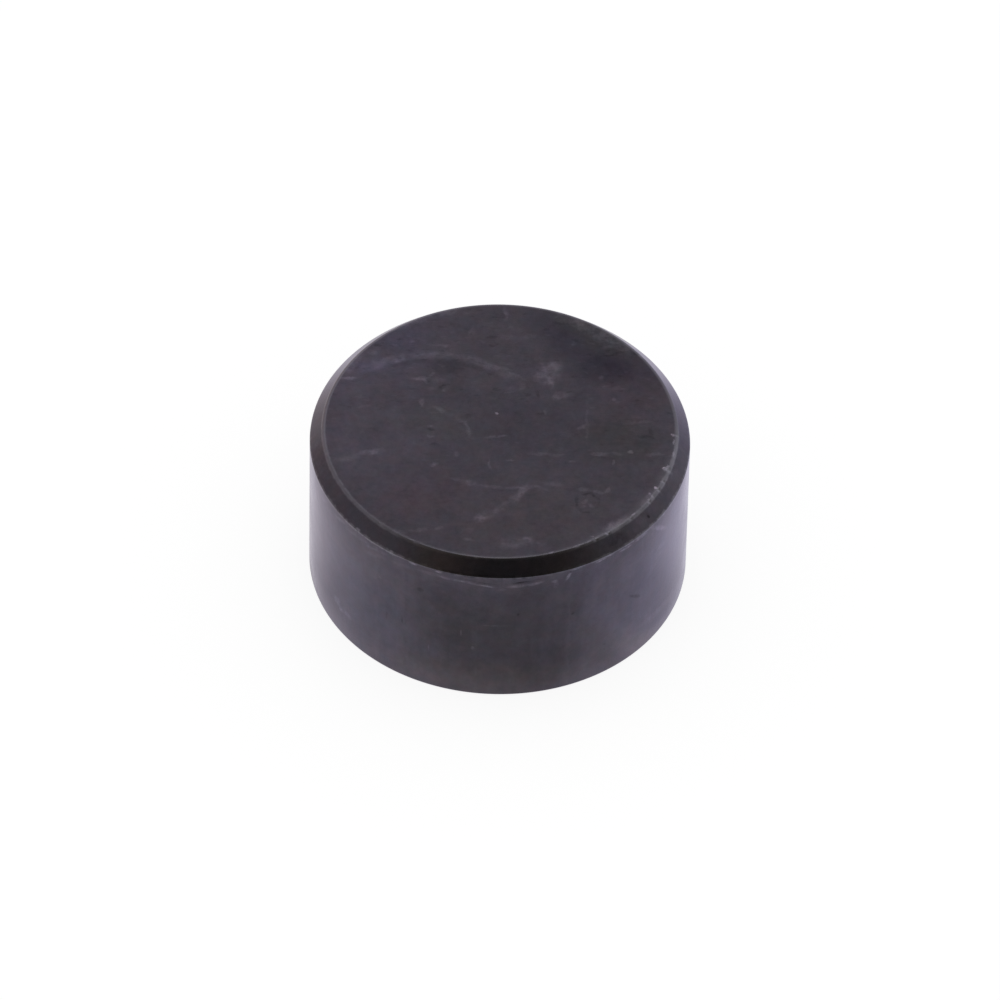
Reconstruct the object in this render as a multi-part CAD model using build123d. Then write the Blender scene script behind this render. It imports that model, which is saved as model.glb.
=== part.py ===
from build123d import *
import os

# Valve shim: a hardened steel disc, turned and ground as one piece. It lies in the
# pocket of a valve spring retainer, between the tip of the valve stem and the
# underside of the cam follower, and its thickness sets the valve clearance.
# Millimetres. The origin is the centre of the underside, and +Z is the disc's axis,
# towards the bevelled face.

# Driving dimensions
shim_diameter = 7.48     # the ground wall, which slides in the pocket
shim_thickness = 3.625   # from the underside to the upper face
bevel_width = 0.26       # inwards from the wall, across the upper face
bevel_height = 0.29      # down the wall from the upper face
face_rim_radius = 0.08   # rounds the rim between the upper face and the bevel
wall_rim_radius = 0.03   # rounds the rim between the bevel and the wall
foot_radius = 0.05       # rounds the edge between the wall and the underside

# Places that follow from them
wall_radius = shim_diameter / 2
face_radius = wall_radius - bevel_width
wall_top = shim_thickness - bevel_height


def half_section():
    # Half of the disc cut through its axis: out along the underside, up the wall,
    # in along the bevel and the upper face, and back down the axis.
    with BuildSketch(Plane.XZ) as section:
        with BuildLine():
            outline = FilletPolyline(
                (0, 0),
                (wall_radius, 0),
                (wall_radius, wall_top),
                (face_radius, shim_thickness),
                (0, shim_thickness),
                radius=[foot_radius, wall_rim_radius, face_rim_radius],
            )
            Line(outline @ 1, outline @ 0)
        make_face()
    return section.sketch


def shim_disc():
    # The half section turned once round the axis.
    return revolve(half_section(), Axis.Z)


os.makedirs("parts", exist_ok=True)
export_step(shim_disc(), "parts/shim_disc.step")
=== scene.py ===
import math

import bpy
import numpy as np
from mathutils import Matrix, Vector


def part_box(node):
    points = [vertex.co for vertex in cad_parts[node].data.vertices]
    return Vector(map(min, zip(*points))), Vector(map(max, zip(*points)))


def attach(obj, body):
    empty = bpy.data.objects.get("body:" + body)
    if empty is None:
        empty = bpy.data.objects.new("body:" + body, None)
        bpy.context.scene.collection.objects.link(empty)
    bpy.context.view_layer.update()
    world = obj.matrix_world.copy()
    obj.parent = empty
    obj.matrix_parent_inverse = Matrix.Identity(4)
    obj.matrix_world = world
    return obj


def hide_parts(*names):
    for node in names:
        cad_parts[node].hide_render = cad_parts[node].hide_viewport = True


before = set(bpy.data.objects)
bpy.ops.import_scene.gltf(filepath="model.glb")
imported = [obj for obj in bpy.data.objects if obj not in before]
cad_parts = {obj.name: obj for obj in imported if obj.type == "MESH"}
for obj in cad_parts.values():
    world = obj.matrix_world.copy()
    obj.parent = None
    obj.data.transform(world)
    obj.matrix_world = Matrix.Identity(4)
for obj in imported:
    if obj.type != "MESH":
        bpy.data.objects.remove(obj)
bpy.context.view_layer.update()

discLow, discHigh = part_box("shim_disc")
millimetre = 0.001
wallRadius = min(-discLow.x, -discLow.y, discHigh.x, discHigh.y) / millimetre
discHeight = discHigh.z / millimetre
print("frame loaded")


# Shader building. A Shade is one output socket, and its operators add Math nodes. Every
# other node comes from Tree.add: its type, its settings, its sockets, and the output wanted.

class Shade:
    def __init__(self, tree, node, output=0):
        self.tree = tree
        self.node = node
        self.socket = node.outputs[output] if node.outputs else None

    def output(self, name):
        return Shade(self.tree, self.node, name)

    def math(self, operation, *others):
        values = dict(enumerate((self, *others)))
        return self.tree.add("ShaderNodeMath", {"operation": operation}, values)

    def __add__(self, other):
        return self.math("ADD", other)

    def __sub__(self, other):
        return self.math("SUBTRACT", other)

    def __mul__(self, other):
        return self.math("MULTIPLY", other)

    def __rsub__(self, other):
        return self.tree.add("ShaderNodeMath", {"operation": "SUBTRACT"}, {0: other, 1: self})

    __radd__ = __add__
    __rmul__ = __mul__


class Tree:
    def __init__(self, owner):
        owner.use_nodes = True
        self.nodes = owner.node_tree.nodes
        self.links = owner.node_tree.links
        self.nodes.clear()

    def add(self, kind, settings=None, sockets=None, output=0):
        node = self.nodes.new(kind)
        for name, value in (settings or {}).items():
            if name == "stops":
                self.setStops(node.color_ramp.elements, value)
            else:
                setattr(node, name, value)
        for name, value in (sockets or {}).items():
            if isinstance(value, Shade):
                self.links.new(value.socket, node.inputs[name])
            else:
                node.inputs[name].default_value = value
        return Shade(self, node, output)

    def setStops(self, elements, stops):  # a colour ramp's stops, as (position, colour) pairs
        while len(elements) < len(stops):
            elements.new(1)
        for element, (position, colour) in zip(elements, stops):
            element.position = position
            element.color = (*colour, 1)

    def vector(self, operation, first, second, output=0):
        return self.add("ShaderNodeVectorMath", {"operation": operation}, {0: first, 1: second}, output)

    def blend(self, first, second, factor, kind="MIX"):
        sockets = {0: factor, 6: first, 7: second}
        return self.add("ShaderNodeMix", {"data_type": "RGBA", "blend_type": kind}, sockets, 2)

    def noise(self, place, scale, detail, roughness):
        sockets = {"Vector": place, "Scale": scale, "Detail": detail, "Roughness": roughness}
        return self.add("ShaderNodeTexNoise", None, sockets)

    def slope(self, value, start, end, low=0, high=1):
        # From low at the start value to high at the end value, which may be the smaller one.
        sockets = {"Value": value, "From Min": start, "From Max": end, "To Min": low, "To Max": high}
        return self.add("ShaderNodeMapRange", {"interpolation_type": "SMOOTHSTEP"}, sockets)


# The disc: one closed surface of revolution that stands for the CAD disc, with the small
# nicks that handling has left along its upper rim. Lengths are in millimetres.

discForm = {
    "bevelWidth": 0.26,  # inwards from the wall
    "bevelHeight": 0.29,  # down from the upper face
    "faceRimRadius": 0.08,
    "wallRimRadius": 0.03,
    "footRadius": 0.05,
    "innerRing": 0.1,  # radius of the first and the last ring, round the two poles
    "rimBand": 0.16,  # closer rings on the face, this far inwards from the rim
    # steps round the disc, and points on each stretch of the profile
    "steps": {"turn": 1440, "face": 4, "rim": 8, "faceArc": 9, "bevel": 9, "wallArc": 6,
              "wall": 4, "footArc": 7, "underside": 4},
    "nickPush": (0.38, 0.92),  # inwards and down, along the middle of the rim's arc
    "bruiseDepth": 0.02,  # a nick as deep as this would show bare steel in full
    # each nick: angle in degrees from +X, half its width along the rim, reach across it, depth
    "nicks": (
        (-0.6, 0.05, 0.07, 0.010),
        (-9, 0.12, 0.04, 0.005),
        (-16.7, 0.08, 0.13, 0.016),
        (-22.2, 0.04, 0.08, 0.010),
        (-26.1, 0.05, 0.10, 0.014),
        (-29.6, 0.09, 0.07, 0.008),
        (-32.3, 0.05, 0.08, 0.011),
        (-37.4, 0.10, 0.05, 0.006),
        (-42.1, 0.06, 0.07, 0.009),
        (-47.5, 0.20, 0.12, 0.010),
        (-52.0, 0.05, 0.06, 0.008),
        (-56.8, 0.06, 0.07, 0.009),
        (-63, 0.10, 0.05, 0.007),
        (-75, 0.08, 0.04, 0.005),
        (-97, 0.09, 0.05, 0.006),
        (-118, 0.12, 0.05, 0.007),
        (-131, 0.08, 0.05, 0.007),
        (-146, 0.10, 0.05, 0.006),
        (-168, 0.08, 0.05, 0.007),
        (172, 0.10, 0.04, 0.006),
        (128, 0.12, 0.05, 0.006),
        (71, 0.10, 0.04, 0.005),
        (38, 0.12, 0.05, 0.006),
    ),
}


def cornerArc(before, corner, after, radius, steps):
    # A corner of the profile rounded by an arc that is tangent to both of its sides.
    before, corner, after = np.array(before), np.array(corner), np.array(after)
    inward = (before - corner) / np.linalg.norm(before - corner)
    onward = (after - corner) / np.linalg.norm(after - corner)
    halfAngle = math.acos(float(inward @ onward)) / 2
    bisector = (inward + onward) / np.linalg.norm(inward + onward)
    centre = corner + bisector * radius / math.sin(halfAngle)
    first = corner + inward * radius / math.tan(halfAngle) - centre
    last = corner + onward * radius / math.tan(halfAngle) - centre
    startAngle = math.atan2(first[1], first[0])
    sweep = (math.atan2(last[1], last[0]) - startAngle + math.pi) % (2 * math.pi) - math.pi
    angle = startAngle + sweep * np.linspace(0, 1, steps)
    return centre + radius * np.stack([np.cos(angle), np.sin(angle)], axis=1)


def discProfile(form):
    # From the inner ring of the face outwards, down and back in, as (radius, height) pairs.
    steps, innerRing = form["steps"], form["innerRing"]
    faceEdge = (wallRadius - form["bevelWidth"], discHeight)
    bevelFoot = (wallRadius, discHeight - form["bevelHeight"])
    foot = (wallRadius, 0)
    faceArc = cornerArc((0, discHeight), faceEdge, bevelFoot, form["faceRimRadius"], steps["faceArc"])
    wallArc = cornerArc(faceEdge, bevelFoot, foot, form["wallRimRadius"], steps["wallArc"])
    footArc = cornerArc(bevelFoot, foot, (0, 0), form["footRadius"], steps["footArc"])
    rimStart = faceArc[0] - (form["rimBand"], 0)
    face = np.linspace((innerRing, discHeight), rimStart, steps["face"], endpoint=False)
    rim = np.linspace(rimStart, faceArc[0], steps["rim"], endpoint=False)
    bevel = np.linspace(faceArc[-1], wallArc[0], steps["bevel"] + 2)[1:-1]
    wall = np.linspace(wallArc[-1], footArc[0], steps["wall"] + 2)[1:-1]
    underside = np.linspace(footArc[-1], (innerRing, 0), steps["underside"] + 1)[1:]
    return np.concatenate([face, rim, faceArc, bevel, wallArc, wall, footArc, underside])


def nickDepth(form, turn, profile):
    # How far each point is pushed in: over all nicks the largest of depth times two straight
    # slopes, one that falls to 0 along the rim and one that falls to 0 across it.
    angle, halfWidth, reach, depth = np.array(form["nicks"]).T
    rimRadius = wallRadius - form["bevelWidth"]
    apart = (turn[:, None] - np.radians(angle) + math.pi) % (2 * math.pi) - math.pi
    along = np.clip(1 - np.abs(apart) * rimRadius / halfWidth, 0, 1)
    fromRim = np.hypot(profile[:, 0] - rimRadius, profile[:, 1] - discHeight)
    across = np.clip(1 - fromRim[:, None] / reach, 0, 1)
    return (across[:, None, :] * along[None, :, :] * depth).max(axis=2)


def discSurface(name, form):
    # Point (radius * cos t, radius * sin t, height) for each turn angle t and profile place,
    # less the nick's depth along its push direction. One vertex at each pole closes the
    # surface with a fan of triangles.
    profile = discProfile(form)
    rings, steps = len(profile), form["steps"]["turn"]
    turn = np.arange(steps) * 2 * math.pi / steps
    depth = nickDepth(form, turn, profile)
    inwards, down = form["nickPush"]
    radius = profile[:, :1] - inwards * depth
    height = profile[:, 1:] - down * depth
    points = np.stack([radius * np.cos(turn), radius * np.sin(turn), height], axis=2)
    points = np.concatenate([points.reshape(-1, 3), [[0, 0, discHeight], [0, 0, 0]]])
    ring, step = np.meshgrid(np.arange(rings - 1), np.arange(steps), indexing="ij")
    following = (step + 1) % steps
    corners = (
        ring * steps + step,
        (ring + 1) * steps + step,
        (ring + 1) * steps + following,
        ring * steps + following,
    )
    quads = np.stack(corners, axis=2).reshape(-1, 4)
    around = np.arange(steps)
    beside = (around + 1) % steps
    topPole, lowPole = rings * steps, rings * steps + 1
    lastRing = (rings - 1) * steps
    topFan = np.stack([0 * around + topPole, around, beside], axis=1)
    lowFan = np.stack([0 * around + lowPole, lastRing + beside, lastRing + around], axis=1)
    mesh = bpy.data.meshes.new(name)
    faces = [*quads.tolist(), *topFan.tolist(), *lowFan.tolist()]
    mesh.from_pydata(points * millimetre, [], faces)
    mesh.shade_smooth()
    bruised = np.clip(depth / form["bruiseDepth"], 0, 1).ravel()
    bruise = mesh.attributes.new("bruise", "FLOAT", "POINT")
    bruise.data.foreach_set("value", np.append(bruised, (0, 0)))
    piece = bpy.data.objects.new(name, mesh)
    bpy.context.scene.collection.objects.link(piece)
    return piece


disc = discSurface("shimDisc", discForm)
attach(disc, "root")
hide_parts("shim_disc")
print("disc made:", len(disc.data.polygons), "faces")


# The oxide finish. Places and lengths are in millimetres on the disc's own axes: x and y
# across the upper face; on the wall, degrees round from -Y towards +X and depth below the top.

oxide = {
    "colour": (0.0630, 0.0588, 0.0690),
    "steel": (0.29, 0.29, 0.32),  # bare metal where the film is rubbed off
    "edgeTint": (0.96, 0.93, 1.0),
    "roughness": 0.2,
    "relief": 0.0012,  # how far the fine bumps stand out
    # how strongly each pattern changes the lightness
    "mottleDepth": 0.52,
    "grainDepth": 0.42,
    "wallCalm": 0.35,  # the share of the grain that the wall lacks
    "fleckDepth": 0.16,
    "streakDepth": 0.2,
    "bruiseShare": 0.3,  # bare steel in the deepest nick
    # each noise: scale per millimetre, detail, roughness
    "noises": {
        "mottle": (1 / 0.55, 5, 0.6),
        "grain": (9, 3, 0.6),
        "flecks": (4.5, 3, 0.5),
        "streaks": (1, 3, 0.6),
        "hue": (3.2, 3, 0.6),
        "warmth": (4.2, 3, 0.6),
        "cloud": (2.4, 4, 0.65),
        "patches": (7, 4, 0.65),
        "broken": (6, 4, 0.7),
        "shake": (4.5, 3, 0.6),
        "grinding": (1, 3, 0.6),
    },
    # how far along x, y and z the two drifts of hue are from the mottling's noise
    "hueShift": (7, 3, 5),
    "warmthShift": (1, 8, 2),
    # how much each pattern is squeezed along x, y and z
    "stretches": {
        "flecks": (0.7, 1.7, 1),
        "streaks": (7, 7, 0.8),
        "grinding": (0.4, 0.4, 22),
    },
    "faceShake": (0.16, 0.16, 0),  # how far a mark's outline is shaken
    "wallShake": (0.35, 0.35, 0),  # the share of that on the wall
    # colours that noise blends between
    "hueTints": ((0.98, 0.98, 1.03, 1), (1.03, 1.0, 0.98, 1)),
    "warmthTints": ((1.04, 0.985, 1.0, 1), (0.96, 1.012, 1.0, 1)),
    "cloudTints": ((0.94, 0.95, 0.95, 1), (1.06, 1.05, 1.07, 1)),
    # each ramp: from this value, to this value and, unless 0 and 1, its two strengths
    "ramps": {
        "faceOutwards": (0.04, 0.02),  # where the face's finish ends, from its edge
        "faceUpwards": (-0.125, -0.075),  # by the height, from the top
        "wallDownwards": (0.01, 0),  # by the height, from the wall's rim
        "tint": (0.3, 0.7),
        "cloud": (0.35, 0.65),
        "patches": (0.32, 0.64, 0.3, 1.45),  # breaks the marks up
        "fleckPlace": (-1.5, 2, 0.6, 1.5),  # by y
        "lightFlecks": (0.60, 0.74),
        "darkFlecks": (0.40, 0.27),
        "rimLine": (0.07, 0.02, 0, 0.26),  # by the distance from the rim
        "rimLineFront": (-3.4, -2.2, 0.45, 1),  # by y
        "rimLineBack": (-0.6, 0.6, 1, 0.3),  # by y
        "rimArcInside": (-0.055, -0.03),  # outwards from the face's edge
        "rimArcOutside": (0.05, 0.02, 0, 0.1),
        "rimArcBack": (-1.2, 0.6),  # by y
        "rimArcLeft": (0, -2, 1, 2.6),  # by x
        "rimGlow": (0.22, 0.02, 0, 0.1),  # by the distance from the rim
        "rimGlowPlace": (2.7, 3.2),  # towards the front right
        "wallLine": (0.05, 0),  # by the distance from the wall's rim
        "wallLineFront": (-3.65, -3, 0.1, 0.3),  # by y
    },
    "rimBreaks": {"rimLine": 0.08, "rimArc": 0.05, "wallLine": 0.16},  # how ragged each is
    "rimGlowTowards": (0.82, 0.57),  # towards +X and -Y
    "bumps": {"grain": 0.6, "mottle": 0.8, "lapping": 0.3, "grinding": 0.5, "cloud": 2},
    "dullness": {"mottle": 0.16, "grain": 0.08, "lapping": 0.03, "marks": 0.06},
    "lapping": ((12, 22), (74, 26), (128, 24)),  # each set of scratches: direction, fineness
    # broad shades on the face: x, y, half length, half width, turn, colour multiplier
    "shades": (
        (-2.5, 0.2, 1.5, 2.6, 15, (1.13, 1.11, 1.15)),
        (-3.1, 0.1, 0.55, 1.6, 0, (1.08, 1.07, 1.08)),
        (-1.9, 2.2, 1.5, 0.9, 35, (1.10, 1.10, 1.15)),
        (1.9, 2.3, 1.7, 0.8, -35, (0.70, 0.71, 0.76)),
        (1.9, 1.7, 0.7, 0.45, 5, (0.80, 0.80, 0.84)),
        (2.6, 1.2, 0.8, 1.1, 0, (1.0, 0.93, 0.94)),
        (2.3, -0.2, 1.0, 0.7, 0, (0.90, 0.92, 0.85)),
        (0.9, 0.2, 1.4, 1.3, 0, (0.91, 0.91, 0.93)),
        (-1.5, -1.8, 1.0, 0.7, 20, (1.05, 0.96, 0.96)),
        (0.6, -2.4, 1.7, 0.8, 10, (1.03, 1.0, 0.96)),
        (-1.1, 1.68, 0.42, 0.24, 0, (0.80, 0.80, 0.82)),
        (-1.3, 0.2, 0.9, 0.6, 0, (0.97, 1.0, 0.95)),
        (-2.6, 1.68, 0.45, 0.24, 20, (1.08, 1.09, 1.17)),
        (-1.95, 2.45, 0.5, 0.4, 30, (1.0, 1.02, 1.09)),
        (1.95, 2.7, 1.2, 0.5, -36, (1.0, 1.04, 0.92)),
    ),
    # light and dark marks on the face: x, y, half length, half width, turn, strength
    "marks": (
        (-0.71, 0.22, 0.12, 0.06, -60, 0.18),
        (-0.64, -0.04, 0.23, 0.045, -80, 0.34),
        (-0.56, -1.46, 0.14, 0.08, 0, 0.32),
        (-0.80, -1.38, 0.25, 0.06, -15, 0.18),
        (-0.26, -1.53, 0.34, 0.05, -6, 0.24),
        (0.19, -1.57, 0.30, 0.045, 2, 0.30),
        (0.60, -1.53, 0.23, 0.05, 8, 0.34),
        (0.86, -1.57, 0.19, 0.05, -20, 0.20),
        (1.05, -1.44, 0.20, 0.06, -8, 0.18),
        (0.47, -1.61, 0.20, 0.09, 65, 0.42),
        (0.34, -1.83, 0.22, 0.11, 55, 0.34),
        (0.07, -2.09, 0.26, 0.10, 40, 0.20),
        (-0.22, -2.32, 0.28, 0.13, 35, 0.28),
        (-0.34, -2.43, 0.14, 0.10, 20, 0.36),
        (-0.60, -2.75, 0.16, 0.06, 20, 0.22),
        (0.79, -0.63, 0.23, 0.05, 0, 0.30),
        (1.12, -0.65, 0.19, 0.05, 5, 0.20),
        (1.94, -0.60, 0.21, 0.06, 0, 0.46),
        (2.28, -0.58, 0.14, 0.04, 0, 0.22),
        (2.56, -0.53, 0.055, 0.05, 0, 0.65),
        (3.05, -0.58, 0.22, 0.05, 3, 0.25),
        (0.22, -0.82, 0.10, 0.04, 0, 0.38),
        (1.40, -0.82, 0.09, 0.04, 0, 0.34),
        (-0.02, -0.17, 0.20, 0.035, 3, 0.44),
        (-0.26, -0.21, 0.14, 0.03, 0, 0.20),
        (-0.07, 0.46, 0.04, 0.035, 0, 1.60),
        (-1.35, -0.03, 0.11, 0.05, 0, -0.24),
        (-1.38, 0.07, 0.09, 0.035, 10, 0.34),
        (-1.35, -0.21, 0.09, 0.035, 0, 0.32),
        (-1.30, -0.42, 0.10, 0.04, 0, -0.18),
        (-2.47, -0.67, 0.30, 0.09, 14, 0.42),
        (-3.00, -0.86, 0.30, 0.10, 12, 0.20),
        (-1.53, -2.75, 0.25, 0.05, 8, 0.26),
        (-1.95, -2.80, 0.22, 0.06, -6, 0.24),
        (-1.16, -2.69, 0.09, 0.05, 0, 0.32),
        (0.92, 1.58, 0.30, 0.40, -10, 0.32),
        (1.06, 1.80, 0.15, 0.14, 40, 0.30),
        (0.86, 1.66, 0.14, 0.14, 0, 0.22),
        (0.94, 1.38, 0.12, 0.18, 0, 0.24),
        (0.74, 1.52, 0.10, 0.12, 0, 0.25),
        (0.98, 1.25, 0.08, 0.12, 20, 0.25),
        (1.23, 1.00, 0.20, 0.12, 15, 0.28),
        (1.10, 0.90, 0.10, 0.08, 0, 0.22),
        (0.20, 1.12, 0.22, 0.12, 0, 0.16),
        (0.42, 1.22, 0.08, 0.10, 0, 0.24),
        (-1.55, 0.69, 0.06, 0.14, 0, 0.46),
        (-1.20, 0.52, 0.16, 0.06, -35, 0.22),
        (1.63, 0.15, 0.14, 0.07, 20, 0.38),
        (1.70, 0.22, 0.60, 0.04, 90, 0.18),
        (0.87, 0.52, 0.04, 0.10, 0, 0.32),
        (-1.57, 1.38, 0.19, 0.05, 0, 0.40),
        (-1.50, 1.31, 0.11, 0.04, -60, 0.34),
        (-1.38, 1.46, 0.12, 0.04, 50, 0.25),
        (-1.22, 1.33, 0.16, 0.08, 0, 0.22),
        (-1.18, 1.16, 0.09, 0.06, 45, -0.28),
        (-1.10, 1.07, 0.09, 0.06, 40, 0.30),
        (-0.62, 0.36, 0.10, 0.06, 30, -0.22),
        (1.66, -1.57, 0.18, 0.06, 10, 0.34),
        (1.92, -1.62, 0.17, 0.05, -10, 0.28),
        (2.11, -1.57, 0.07, 0.08, 0, 0.46),
        (1.54, -1.92, 0.17, 0.035, 97, -0.24),
        (1.60, -2.12, 0.10, 0.030, -50, -0.20),
        (1.75, -2.19, 0.12, 0.030, 4, -0.22),
        (1.93, -1.99, 0.13, 0.030, 78, -0.16),
        (1.88, -1.76, 0.12, 0.030, -38, -0.28),
        (1.71, -1.69, 0.12, 0.030, 18, -0.26),
        (1.69, -1.88, 0.12, 0.050, 62, 0.34),
        (1.80, -1.99, 0.10, 0.045, -55, 0.26),
        (1.66, -2.05, 0.07, 0.040, 30, 0.22),
        (-0.55, -3.01, 0.13, 0.05, -20, 0.26),
        (0.32, -3.05, 0.34, 0.16, 15, 0.30),
        (0.60, -2.98, 0.12, 0.12, 0, 0.28),
        (0.84, -3.05, 0.10, 0.06, 0, 0.22),
        (-1.28, -0.97, 0.09, 0.06, 20, 0.42),
        (-0.82, -0.67, 0.06, 0.08, 0, 0.26),
        (-0.19, -0.94, 0.03, 0.14, 5, 0.34),
        (2.21, -0.82, 0.035, 0.09, 0, 0.40),
        (1.98, 1.50, 0.05, 0.06, 0, 0.36),
        (2.23, 0.91, 0.045, 0.045, 0, 0.52),
        (2.30, 1.20, 0.18, 0.04, 5, 0.18),
        (2.75, 0.30, 0.40, 0.04, 10, 0.18),
        (0.71, 1.01, 0.04, 0.16, 15, -0.20),
        (2.95, 0.02, 0.05, 0.22, 0, -0.16),
        (2.80, -0.10, 0.20, 0.05, 0, -0.18),
        (0.30, 1.50, 0.25, 0.04, -30, 0.22),
        (0.05, 1.70, 0.20, 0.04, -20, 0.20),
        (0.55, 2.60, 0.16, 0.07, 20, 0.22),
        (0.10, 2.55, 0.20, 0.07, 0, 0.16),
        (-0.60, 2.70, 0.10, 0.10, 0, 0.18),
        (-1.15, 2.30, 0.14, 0.05, 0, 0.30),
        (-1.80, 2.35, 0.08, 0.08, 0, 0.28),
        (-0.90, 2.85, 0.20, 0.06, -30, -0.16),
        (1.42, 2.42, 0.06, 0.06, 0, 0.36),
        (1.90, 2.80, 1.05, 0.26, -36, 0.50),
        (-2.92, 1.72, 0.37, 0.10, 65, 0.34),
        (-3.00, 1.34, 0.18, 0.045, 4, 0.50),
        (-2.55, 2.05, 0.10, 0.10, 0, 0.20),
        (-2.05, 1.82, 0.08, 0.05, 0, 0.32),
        (2.24, 2.16, 0.34, 0.04, 18, -0.22),
        (2.09, 2.36, 0.10, 0.07, 0, 0.20),
        (1.10, 3.00, 0.20, 0.05, -20, -0.18),
        (-1.87, 2.92, 0.60, 0.14, 26, 0.34),
        (-1.15, 3.20, 0.35, 0.10, 16, 0.34),
        (0.06, 3.20, 0.05, 0.22, 5, 0.30),
        (3.40, -0.03, 0.045, 0.04, 0, 2.2),
        (3.42, -0.22, 0.09, 0.025, 90, 1.1),
        (3.40, -0.54, 0.10, 0.025, 90, 1.4),
        (3.24, -0.97, 0.06, 0.045, 20, 4.0),
        (3.30, -0.90, 0.05, 0.025, 60, 1.6),
        (3.18, -1.30, 0.035, 0.03, 0, 2.0),
        (3.05, -1.49, 0.04, 0.035, 0, 3.8),
        (2.93, -1.66, 0.03, 0.03, 0, 1.4),
        (2.98, -1.71, 0.04, 0.03, 50, 1.6),
        (2.91, -1.83, 0.04, 0.03, 50, 1.6),
        (2.88, -1.80, 0.22, 0.07, 58, 0.45),
        (2.64, -2.22, 0.05, 0.03, 45, 1.4),
        (2.28, -2.50, 0.36, 0.12, 42, 0.70),
        (2.12, -2.72, 0.035, 0.03, 0, 1.8),
        (1.85, -2.84, 0.04, 0.03, 0, 1.2),
        (1.77, -2.97, 0.06, 0.025, 30, 1.2),
        (1.52, -3.09, 0.08, 0.025, 27, 1.0),
        (1.03, -3.29, 0.06, 0.03, 18, 1.0),
    ),
    # rubbed rings on the face: x, y, radius, half width, from angle, to angle, strength
    "rings": (
        (-1.316, -0.202, 2.235, 0.13, 40, 134, 0.20),
        (-1.316, -0.202, 2.260, 0.05, 44, 100, 0.12),
        (-1.316, -0.202, 2.070, 0.07, 55, 120, -0.10),
        (-1.571, -0.449, 1.047, 0.05, 2, 92, 0.10),
    ),
    # broad shades on the wall, the first of them a painted reflection that lightens and warms the low
    # front: degrees round, depth, half length, half height, turn, multiplier
    "wallTintsAndReflection": (
        (-4, 3.15, 2.0, 0.55, 0, (1.13, 1.10, 0.99)),
        (-6, 1.8, 1.4, 0.9, 0, (1.0, 1.01, 0.95)),
        (58, 1.8, 1.2, 1.3, 0, (0.97, 1.0, 1.07)),
        (74, 1.2, 0.7, 1.2, 0, (0.97, 1.0, 1.08)),
        (62.5, 3.27, 0.75, 0.15, 8, (0.68, 0.71, 0.80)),
        (68.5, 0.62, 0.28, 0.24, 0, (1.20, 1.21, 1.28)),
        (-45, 2.2, 1.3, 1.0, 0, (0.97, 1.0, 1.05)),
        (-70, 1.8, 0.6, 1.4, 0, (1.06, 1.03, 0.96)),
    ),
    # marks on the wall: degrees round, depth, half length, half height, turn, strength
    "wallMarks": (
        (-7.3, 0.49, 0.50, 0.032, 7, 0.36),
        (-3.0, 0.53, 0.14, 0.025, 14, 0.55),
        (-9.8, 0.46, 0.10, 0.025, 0, 0.45),
        (6.0, 0.53, 0.22, 0.045, -3, 0.60),
        (11.2, 0.50, 0.19, 0.045, -6, 0.60),
        (8.5, 0.42, 0.30, 0.026, -5, -0.50),
        (-5.0, 0.43, 0.40, 0.018, 7, -0.25),
        (17.5, 0.52, 0.07, 0.045, 0, 0.55),
        (21.7, 0.48, 0.14, 0.042, -62, 0.80),
        (22.5, 0.37, 0.03, 0.03, 0, -0.50),
        (24.7, 0.32, 0.14, 0.030, 0, 1.0),
        (32.6, 0.35, 0.12, 0.030, 0, 0.9),
        (41.9, 0.37, 0.16, 0.030, 0, 0.9),
        (-14.5, 0.46, 0.20, 0.030, 4, 0.50),
        (0, 0.29, 1.90, 0.040, 0, -0.35),
        (36.5, 0.32, 0.07, 0.025, 0, 0.8),
        (48.3, 0.36, 0.20, 0.035, 0, 0.7),
        (59.0, 1.15, 0.16, 0.09, 10, 0.30),
        (-54.9, 2.95, 0.07, 0.06, 0, 0.90),
        (-41.7, 0.49, 0.14, 0.05, -10, 0.25),
        (-47.3, 0.27, 0.07, 0.03, 0, 1.4),
        (-33.9, 0.28, 0.07, 0.03, 0, 1.2),
        (-30.5, 0.28, 0.10, 0.03, 0, 0.9),
        (-26.0, 0.32, 0.10, 0.03, 0, 1.0),
        (-17.8, 0.33, 0.08, 0.03, 0, 0.9),
        (-30.0, 0.50, 0.30, 0.05, -6, 0.16),
        (-38.0, 0.44, 0.20, 0.05, -8, 0.20),
        (-56.0, 0.44, 0.25, 0.05, -14, 0.34),
        (-66.0, 0.50, 0.16, 0.06, -30, 0.30),
        (54.0, 0.15, 0.035, 0.035, 0, -0.45),
        (40.0, 0.16, 0.34, 0.12, 0, -0.22),
        (49.5, 0.13, 0.26, 0.10, 0, 0.16),
        (18.0, 0.62, 0.06, 0.12, 0, 0.20),
        (1.5, 0.62, 0.10, 0.04, -10, 0.20),
        (-20.0, 0.44, 0.40, 0.05, -3, 0.18),
        (-40.0, 0.62, 0.30, 0.07, -20, 0.12),
        (-48.0, 0.46, 0.40, 0.05, -8, 0.16),
        (-60.0, 0.55, 0.40, 0.09, -15, 0.16),
        (-7.0, 2.30, 0.04, 0.050, 0, 0.50),
        (-0.6, 1.64, 0.27, 0.020, 0, 0.22),
        (6.5, 1.33, 0.03, 0.045, 0, -0.32),
        (34.6, 2.80, 0.045, 0.040, 0, -0.30),
        (46.4, 1.94, 0.22, 0.045, 38, -0.36),
        (23.5, 1.57, 0.04, 0.04, 0, -0.26),
        (-23.5, 0.98, 0.08, 0.07, 0, -0.20),
        (-29.5, 2.05, 0.02, 0.10, 0, -0.24),
        (-35.0, 2.10, 0.02, 0.14, 0, -0.16),
        (-10.6, 1.92, 0.018, 0.10, 0, 0.38),
        (-20.5, 2.56, 0.018, 0.12, 0, 0.30),
        (-52.3, 2.90, 0.20, 0.08, 10, 0.40),
        (-57.0, 2.82, 0.14, 0.12, 0, 0.55),
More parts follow.
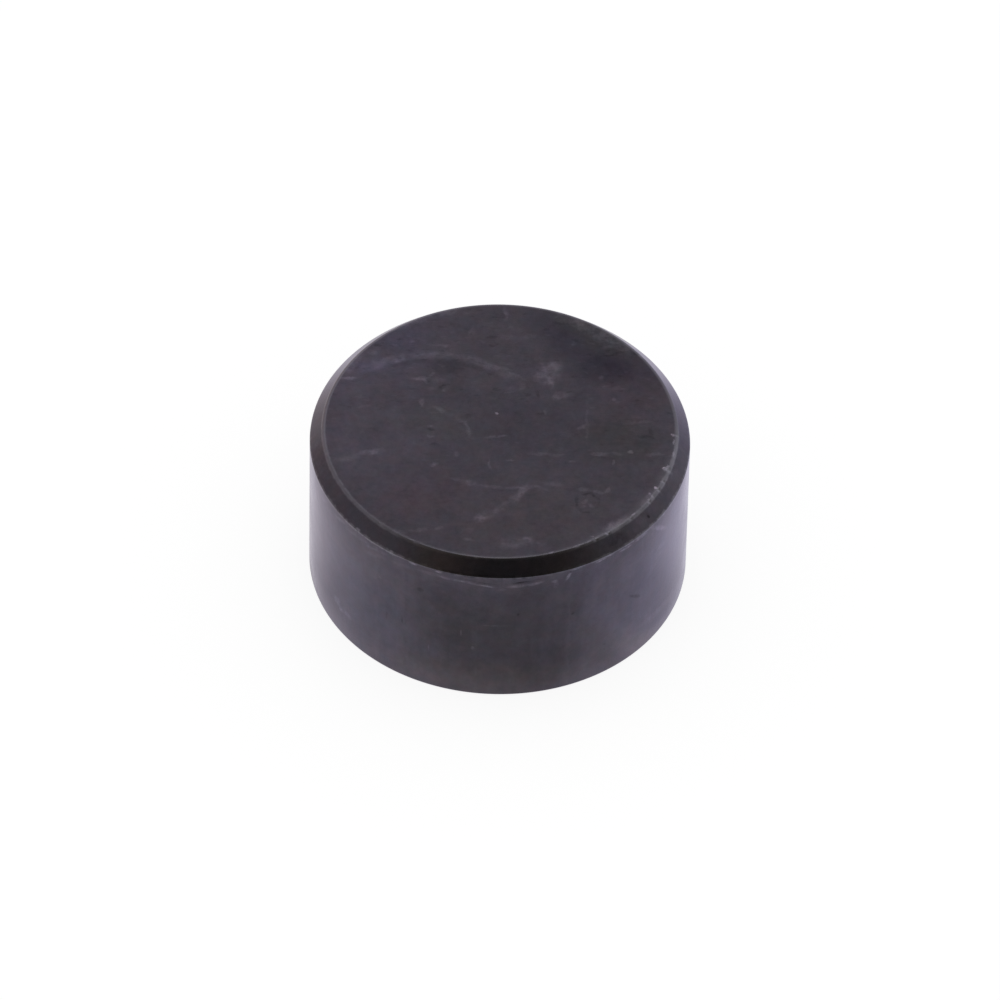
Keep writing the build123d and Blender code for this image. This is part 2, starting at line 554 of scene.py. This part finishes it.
        (-38.0, 1.15, 0.05, 0.05, 0, 0.22),
        (52.0, 2.80, 0.06, 0.08, 0, 0.28),
        (57.8, 0.60, 0.42, 0.060, 40, 0.65),
        (58.0, 1.35, 0.20, 0.08, -10, 0.14),
        (58.0, 2.98, 0.60, 0.10, 6, 0.30),
    ),
}


markReach = 1.25  # a mark ends at this many times its half size
markFade = 0.7  # the outer share of that over which it fades
ringCore = 0.35  # a ring has its full strength within this share of its half width
ringSweep = 0.8  # and within this share of its half sweep
scratchSqueeze = 0.06  # the noise's scale along a scratch
scratchPeaks = (0.60, 0.75)  # only noise above these values shows


def ellipse(tree, place, mark):
    # A ball of falling strength, drawn out and turned: the mark's strength in the middle of
    # an ellipse and 0 at its edge.
    x, y, halfLength, halfWidth, turn, strength = mark
    local = {"Location": (x, y, 0), "Rotation": (0, 0, math.radians(turn)), "Vector": place}
    local["Scale"] = (halfLength * markReach, halfWidth * markReach, 1)
    local = tree.add("ShaderNodeMapping", {"vector_type": "TEXTURE"}, local)
    ball = tree.add("ShaderNodeTexGradient", {"gradient_type": "SPHERICAL"}, {"Vector": local}, 1)
    return tree.slope(ball, 0, markFade, 0, strength)


def scratches(tree, place, direction):
    # Noise drawn out along one direction, of which only the peaks show.
    turn, fineness = direction
    drawnOut = {"Vector": place, "Rotation": (0, 0, math.radians(turn))}
    drawnOut["Scale"] = (scratchSqueeze, 1, 1)
    drawnOut = tree.add("ShaderNodeMapping", None, drawnOut)
    return tree.slope(tree.noise(drawnOut, fineness, 2, 0.6), *scratchPeaks)


def rubbedRing(tree, place, ring):
    # The ring's strength at its radius, falling to 0 at half its width and past its two ends.
    x, y, radius, halfWidth, start, end, strength = ring
    local = tree.vector("SUBTRACT", place, (x, y, 0))
    apart = (tree.vector("LENGTH", local, (0, 0, 0), "Value") - radius).math("ABSOLUTE")
    band = tree.slope(apart, halfWidth * markReach, halfWidth * ringCore, 0, strength)
    parts = tree.add("ShaderNodeSeparateXYZ", None, {0: local})
    angle = parts.output("Y").math("ARCTAN2", parts.output("X"))
    fromMiddle = (angle - math.radians((start + end) / 2)).math("ABSOLUTE")
    halfSweep = math.radians(end - start) / 2
    return band * tree.slope(fromMiddle, halfSweep, halfSweep * ringSweep)


def addMarks(tree, place, draw, marks, total=0):
    # Each mark is added as soon as it is drawn, so that few values are held at a time.
    for mark in marks:
        total = draw(tree, place, mark) + total
    return total


def measuredFrom(base, ramp):
    # The ramp with its two values counted from the base.
    start, end, *strengths = ramp
    return (base + start, base + end, *strengths)


def oxideMaterial(finish):
    material = bpy.data.materials.new("blackOxideSteel")
    tree = Tree(material)
    noises, stretches, ramps = finish["noises"], finish["stretches"], finish["ramps"]
    breaks, bumps, dullness = finish["rimBreaks"], finish["bumps"], finish["dullness"]
    place = tree.add("ShaderNodeTexCoord", None, None, "Object")
    place = tree.vector("MULTIPLY", place, (1 / millimetre,) * 3)
    parts = tree.add("ShaderNodeSeparateXYZ", None, {0: place})
    x, y, height = parts.output("X"), parts.output("Y"), parts.output("Z")
    fromAxis = (x * x + y * y).math("SQRT")
    faceEdge = wallRadius - discForm["bevelWidth"]
    wallTop = discHeight - discForm["bevelHeight"]

    # where the face and the wall are, and how far a place is from each rim
    onFace = tree.slope(fromAxis, *measuredFrom(faceEdge, ramps["faceOutwards"]))
    onFace = onFace * tree.slope(height, *measuredFrom(discHeight, ramps["faceUpwards"]))
    onWall = tree.slope(height, *measuredFrom(wallTop, ramps["wallDownwards"]))
    faceRim = (fromAxis - faceEdge).math("POWER", 2) + (height - discHeight).math("POWER", 2)
    faceRim = faceRim.math("SQRT")
    wallRim = (fromAxis - wallRadius).math("POWER", 2) + (height - wallTop).math("POWER", 2)
    wallRim = wallRim.math("SQRT")

    # the upper face: a flat place, shaken a little so that no mark has a clean edge
    flat = tree.vector("MULTIPLY", place, (1, 1, 0))
    shake = tree.noise(place, *noises["shake"]).output("Color")
    shake = tree.vector("SUBTRACT", shake, (0.5, 0.5, 0.5))
    shake = tree.vector("MULTIPLY", shake, finish["faceShake"])
    shaken = tree.vector("ADD", flat, shake)
    faceMarks = addMarks(tree, shaken, ellipse, finish["marks"])
    faceMarks = addMarks(tree, shaken, rubbedRing, finish["rings"], faceMarks)
    patches = tree.slope(tree.noise(place, *noises["patches"]), *ramps["patches"])
    faceLight = faceMarks * patches * onFace

    # the wall: unrolled to arc length and depth below the top
    around = x.math("ARCTAN2", y * -1) * wallRadius
    unrolled = tree.add("ShaderNodeCombineXYZ", None, {"X": around, "Y": discHeight - height})
    wallShake = tree.vector("MULTIPLY", shake, finish["wallShake"])
    shakenWall = tree.vector("ADD", unrolled, wallShake)
    wallMarks = [(math.radians(mark[0]) * wallRadius, *mark[1:]) for mark in finish["wallMarks"]]
    wallLight = addMarks(tree, shakenWall, ellipse, wallMarks) * patches * (1 - onFace)

    # the film's lightness: two sizes of mottling, flecks, and streaks up and down the wall
    mottle = tree.noise(place, *noises["mottle"])
    grain = tree.noise(place, *noises["grain"])
    value = 1 + (mottle - 0.5) * finish["mottleDepth"]
    value = value + (grain - 0.5) * finish["grainDepth"] * (1 - onWall * finish["wallCalm"])
    flecks = tree.noise(tree.vector("MULTIPLY", shaken, stretches["flecks"]), *noises["flecks"])
    fleckDepth = tree.slope(y, *ramps["fleckPlace"]) * finish["fleckDepth"]
    flecks = tree.slope(flecks, *ramps["lightFlecks"]) - tree.slope(flecks, *ramps["darkFlecks"])
    value = value + flecks * fleckDepth
    streaks = tree.noise(tree.vector("MULTIPLY", place, stretches["streaks"]), *noises["streaks"])
    value = value + (streaks - 0.5) * onWall * finish["streakDepth"]

    # its colour: the base, two drifts of hue, clouds on the wall, the shades, of which the first on the
    # wall is a painted reflection, and the marks
    colour = tree.vector("MULTIPLY", value, finish["colour"])
    hue = tree.noise(tree.vector("ADD", place, finish["hueShift"]), *noises["hue"])
    hueTint = tree.blend(*finish["hueTints"], tree.slope(hue, *ramps["tint"]))
    colour = tree.blend(colour, hueTint, 1, "MULTIPLY")
    warmth = tree.noise(tree.vector("ADD", place, finish["warmthShift"]), *noises["warmth"])
    warmthTint = tree.blend(*finish["warmthTints"], tree.slope(warmth, *ramps["tint"]))
    colour = tree.blend(colour, warmthTint, 1, "MULTIPLY")
    cloud = tree.noise(place, *noises["cloud"])
    cloudTint = tree.blend(*finish["cloudTints"], tree.slope(cloud, *ramps["cloud"]))
    colour = tree.blend(colour, cloudTint, onWall, "MULTIPLY")
    for *spot, tint in finish["shades"]:
        factor = ellipse(tree, shaken, (*spot, 1)) * onFace
        colour = tree.blend(colour, (*tint, 1), factor, "MULTIPLY")
    # the wall's shades; the first is a painted reflection of the floor, low on the front
    for degrees, *spot, tint in finish["wallTintsAndReflection"]:
        factor = ellipse(tree, shakenWall, (math.radians(degrees) * wallRadius, *spot, 1)) * onWall
        colour = tree.blend(colour, (*tint, 1), factor, "MULTIPLY")
    lightness = 1 + (faceLight + wallLight)
    colour = tree.vector("MULTIPLY", colour, lightness)

    # bare steel in the nicks and, broken by noise, along both rims: a thin line, the arc
    # that is rubbed at the back and sides, and a soft glow at the front right
    broken = tree.noise(place, *noises["broken"])
    raggedRim = faceRim + (broken - 0.5) * breaks["rimLine"]
    rimLine = tree.slope(raggedRim, *ramps["rimLine"]) * tree.slope(y, *ramps["rimLineFront"])
    rimLine = rimLine * tree.slope(y, *ramps["rimLineBack"])
    rimArc = fromAxis + (broken - 0.5) * breaks["rimArc"]
    rimArc = tree.slope(rimArc, *measuredFrom(faceEdge, ramps["rimArcInside"]))
    rimArc = rimArc * tree.slope(fromAxis, *measuredFrom(faceEdge, ramps["rimArcOutside"]))
    rimArc = rimArc * tree.slope(y, *ramps["rimArcBack"])
    faceWear = rimArc * tree.slope(x, *ramps["rimArcLeft"]) + rimLine
    towardsX, towardsFront = finish["rimGlowTowards"]
    frontRight = tree.slope(x * towardsX - y * towardsFront, *ramps["rimGlowPlace"])
    faceWear = tree.slope(raggedRim, *ramps["rimGlow"]) * frontRight * onFace + faceWear
    wallWear = tree.slope(wallRim + (broken - 0.5) * breaks["wallLine"], *ramps["wallLine"])
    wallWear = wallWear * tree.slope(y, *ramps["wallLineFront"])
    bruise = tree.add("ShaderNodeAttribute", {"attribute_name": "bruise"}, None, "Fac")
    rubbed = (faceWear + wallWear + bruise * finish["bruiseShare"]).math("MINIMUM", 1)
    colour = tree.blend(colour, (*finish["steel"], 1), rubbed)

    # fine lapping scratches on the face and grinding lines round the wall
    lapping = addMarks(tree, place, scratches, finish["lapping"]) * onFace
    lines = tree.vector("MULTIPLY", place, stretches["grinding"])
    grinding = tree.noise(lines, *noises["grinding"]) * onWall
    roughness = finish["roughness"] + (mottle - 0.5) * dullness["mottle"]
    roughness = roughness + (grain - 0.5) * dullness["grain"]
    roughness = roughness + lapping * dullness["lapping"]
    roughness = roughness + (faceLight + wallLight) * dullness["marks"]
    relief = grain * bumps["grain"] + mottle * bumps["mottle"] - lapping * bumps["lapping"]
    relief = relief + grinding * bumps["grinding"] + cloud * onWall * bumps["cloud"]
    normal = tree.add("ShaderNodeBump", None, {
        "Strength": 1, "Distance": finish["relief"] * millimetre, "Height": relief})
    shader = tree.add("ShaderNodeBsdfPrincipled", None, {
        "Base Color": colour, "Metallic": 1, "Roughness": roughness, "Normal": normal,
        "Specular Tint": (*finish["edgeTint"], 1)})
    tree.add("ShaderNodeOutputMaterial", None, {"Surface": shader})
    return material


disc.data.materials.append(oxideMaterial(oxide))
print("oxide finish made")


# The studio: a pale floor, a white surround that is dark behind the camera, and a soft lamp.
# Lengths are in metres, apart from those in the floor's reflections.

cameraPlan = {
    "lens": 400,
    "sensor": 36,
    "clip": (0.01, 5),
    "distance": 0.2192,  # from the disc's mid-height centre
    "elevation": 46.1,
    "roll": 1.23,
    "shift": (0.00118, -0.00602),
}


def directionTo(azimuth, elevation):
    # Azimuth 0 is the camera's side and turns anticlockwise seen from above.
    flat, rise = math.radians(azimuth), math.radians(elevation)
    return Vector((math.sin(flat) * math.cos(rise), -math.cos(flat) * math.cos(rise), math.sin(rise)))


def makeCamera(plan):
    camera = bpy.data.objects.new("camera", bpy.data.cameras.new("camera"))
    camera.data.lens = plan["lens"]
    camera.data.sensor_width = plan["sensor"]
    camera.data.clip_start, camera.data.clip_end = plan["clip"]
    camera.data.shift_x, camera.data.shift_y = plan["shift"]
    backward = directionTo(0, plan["elevation"])
    roll = math.radians(plan["roll"])
    right = Vector((1, 0, 0))
    up = backward.cross(right)
    rolledRight = right * math.cos(roll) + up * math.sin(roll)
    rolledUp = up * math.cos(roll) - right * math.sin(roll)
    turn = Matrix((rolledRight, rolledUp, backward)).transposed().to_4x4()
    centre = Vector((0, 0, discHigh.z / 2))
    camera.matrix_world = Matrix.Translation(centre + backward * plan["distance"]) @ turn
    bpy.context.scene.collection.objects.link(camera)
    bpy.context.scene.camera = camera


studio = {
    "floorSize": 0.6,
    "floorGap": 0.000004,  # below the underside, so that the two don't coincide
    "floorColour": (0.8, 0.8, 0.8),
    "floorGlow": 1.24,  # the lit paper, as the camera sees it
    "glowShare": 0.7,  # of the camera's view of the floor; the rest keeps the shadow
    "mirroredFloor": (1.07, 1.04, 1.1),  # its tone in reflections, in which lengths are in millimetres
    # painted shade on it, and painted lighter patches where the strength is below 0: x, y, half width,
    # half depth, strength
    "paintedFloorShadeAndLight": (
        (0.3, -5.4, 4.4, 1.9, 0.38),
        (1.4, -4.0, 1.2, 0.5, 0.12),
        (3.1, -2.7, 0.5, 0.5, -0.14),
        (5.7, -0.6, 1.1, 1.6, -0.14),
        (-5.5, -2.4, 1.1, 2.2, -0.10),
        (0, 7.2, 5.2, 3.8, 0.05),
        (-3.95, 1.4, 0.5, 1.7, -0.02),
        (4.15, 2.2, 0.5, 1.2, -0.06),
        (-3.8, 0.15, 0.25, 0.55, -0.06),
        (3.8, 0.15, 0.25, 0.55, -0.07),
    ),
    # painted shade on it beside the disc: its strength, then where it starts and ends across and along
    # y
    "paintedShadeBeside": 0.22,
    "shadeBesideReach": (5.0, 3.6),  # from nothing at the first distance from the axis, to the full dimming
    "shadeBesideDepth": (-2.3, -1.2),  # and so along y
    # painted tints of it to the left and right: colour, from this x, to this x
    "floorTints": (
        ((0.97, 0.93, 0.85), -4.5, -11),
        ((0.99, 1.0, 1.06), 3.0, 3.5),
        ((0.88, 0.88, 0.92), 5, 10),
    ),
    "ambient": 0.55,  # the light that the surround casts
    "sideBlend": (-0.5, 0.25),  # from the left tones to the right ones, by the direction's x
    # tones of the surround by degrees from the camera's direction, on its right and left
    "rightTones": (
        (0, (0.10, 0.10, 0.10)),
        (14, (0.11, 0.105, 0.10)),
        (28, (0.16, 0.14, 0.12)),
        (38, (0.23, 0.21, 0.19)),
        (48, (0.36, 0.35, 0.34)),
        (57, (0.52, 0.50, 0.51)),
        (67, (0.62, 0.60, 0.62)),
        (77, (0.74, 0.72, 0.75)),
        (86, (0.86, 0.84, 0.88)),
        (95, (0.96, 0.93, 1.00)),
        (122, (0.98, 0.98, 1.00)),
        (145, (1.05, 1.07, 1.10)),
        (157, (0.93, 0.91, 0.98)),
        (164, (0.76, 0.74, 0.82)),
        (169, (0.68, 0.66, 0.74)),
        (180, (0.80, 0.77, 0.83)),
    ),
    "leftTones": (
        (0, (0.10, 0.10, 0.10)),
        (15, (0.12, 0.11, 0.10)),
        (24, (0.28, 0.23, 0.19)),
        (34, (0.35, 0.31, 0.25)),
        (44, (0.40, 0.37, 0.37)),
        (53, (0.58, 0.56, 0.57)),
        (73, (0.60, 0.56, 0.59)),
        (91, (0.69, 0.63, 0.65)),
        (109, (0.75, 0.64, 0.66)),
        (118, (0.71, 0.62, 0.56)),
        (126, (1.02, 0.97, 0.84)),
        (134, (1.08, 1.09, 0.92)),
        (149, (1.08, 1.10, 0.96)),
        (155, (1.05, 1.07, 0.95)),
        (161, (0.84, 0.81, 0.79)),
        (167, (0.56, 0.54, 0.56)),
        (180, (0.55, 0.53, 0.55)),
    ),
}


def makeFloor(values):
    size = values["floorSize"] / 2
    mesh = bpy.data.meshes.new("floor")
    low = -values["floorGap"]
    corners = [(-size, -size, low), (size, -size, low), (size, size, low), (-size, size, low)]
    mesh.from_pydata(corners, [], [(0, 1, 2, 3)])
    floor = bpy.data.objects.new("floor", mesh)
    bpy.context.scene.collection.objects.link(floor)
    material = bpy.data.materials.new("floorPaper")
    tree = Tree(material)
    path = tree.add("ShaderNodeLightPath")
    mirrored = path.output("Is Glossy Ray")
    seen = path.output("Is Camera Ray").math("MAXIMUM", path.output("Is Transmission Ray"))
    place = tree.add("ShaderNodeTexCoord", None, None, "Object")
    place = tree.vector("MULTIPLY", place, (1 / millimetre,) * 3)
    parts = tree.add("ShaderNodeSeparateXYZ", None, {0: place})
    across = parts.output("X")
    # the floor's tone in reflections, with painted tints to the sides and painted shade near the disc
    tone = (*values["mirroredFloor"], 1)
    for tint, start, full in values["floorTints"]:
        tone = tree.blend(tone, (*tint, 1), tree.slope(across, start, full), "MULTIPLY")
    # painted shade that dims the reflected floor beside the disc and in the listed patches
    beside = tree.slope(across.math("ABSOLUTE"), *values["shadeBesideReach"])
    mirroredShade = beside * tree.slope(parts.output("Y"), *values["shadeBesideDepth"]) * values["paintedShadeBeside"]
    for *patch, shadeAmount in values["paintedFloorShadeAndLight"]:
        mirroredShade = ellipse(tree, place, (*patch, 0, shadeAmount)) + mirroredShade
    tone = tree.vector("MULTIPLY", tone, 1 - mirroredShade)
    glow = values["floorGlow"]
    tone = tree.blend((glow, glow, glow, 1), tone, mirrored)
    strength = seen + mirrored
    lit = tree.add("ShaderNodeEmission", None, {"Color": tone, "Strength": strength})
    paper = tree.add("ShaderNodeBsdfDiffuse", None, {"Color": (*values["floorColour"], 1)})
    share = seen * values["glowShare"] + mirrored
    fromAbove = tree.add("ShaderNodeMixShader", None, {0: share, 1: paper, 2: lit})
    isBelow = tree.add("ShaderNodeNewGeometry").output("Backfacing")
    clear = tree.add("ShaderNodeBsdfTransparent")
    surface = tree.add("ShaderNodeMixShader", None, {0: isBelow, 1: fromAbove, 2: clear})
    tree.add("ShaderNodeOutputMaterial", None, {"Surface": surface})
    mesh.materials.append(material)


def makeWorld(values):
    # White where it is seen, dimmer for the light it casts, and for reflections a tone that
    # depends on the angle from the camera's direction, because the room is dark behind it.
    world = bpy.data.worlds.new("studioWorld")
    bpy.context.scene.world = world
    tree = Tree(world)
    towards = tree.add("ShaderNodeTexCoord", None, None, "Generated")
    backward = directionTo(0, cameraPlan["elevation"])
    angle = tree.vector("DOT_PRODUCT", towards, backward, "Value").math("ARCCOSINE") * (1 / math.pi)
    sides = []
    for tones in (values["leftTones"], values["rightTones"]):
        stops = [(degrees / 180, tone) for degrees, tone in tones]
        sides.append(tree.add("ShaderNodeValToRGB", {"stops": stops}, {"Fac": angle}))
    sideways = tree.vector("DOT_PRODUCT", towards, (1, 0, 0), "Value")
    mirrored = tree.blend(*sides, tree.slope(sideways, *values["sideBlend"]))
    path = tree.add("ShaderNodeLightPath")
    seen = path.output("Is Camera Ray").math("MAXIMUM", path.output("Is Transmission Ray"))
    ambient = values["ambient"]
    tone = tree.blend((ambient, ambient, ambient, 1), (1, 1, 1, 1), seen)
    tone = tree.blend(tone, mirrored, path.output("Is Glossy Ray"))
    background = tree.add("ShaderNodeBackground", None, {"Color": tone, "Strength": 1})
    tree.add("ShaderNodeOutputWorld", None, {"Surface": background})


lamps = {
    "overheadBox": {"azimuth": 180, "elevation": 78, "distance": 0.4, "size": 0.2, "radiance": 0.8},
}


def makeLamp(name, plan):
    light = bpy.data.lights.new(name, "AREA")
    light.shape = "DISK"
    light.size = plan["size"]
    area = math.pi * plan["size"] ** 2 / 4
    light.energy = plan["radiance"] * math.pi * area
    lamp = bpy.data.objects.new(name, light)
    towards = directionTo(plan["azimuth"], plan["elevation"])
    lamp.location = towards * plan["distance"]
    lamp.rotation_euler = towards.to_track_quat("Z", "Y").to_euler()
    bpy.context.scene.collection.objects.link(lamp)


bpy.context.scene.view_settings.view_transform = "Standard"
makeCamera(cameraPlan)
makeFloor(studio)
makeWorld(studio)
for lampName, lampPlan in lamps.items():
    makeLamp(lampName, lampPlan)
print("studio made")
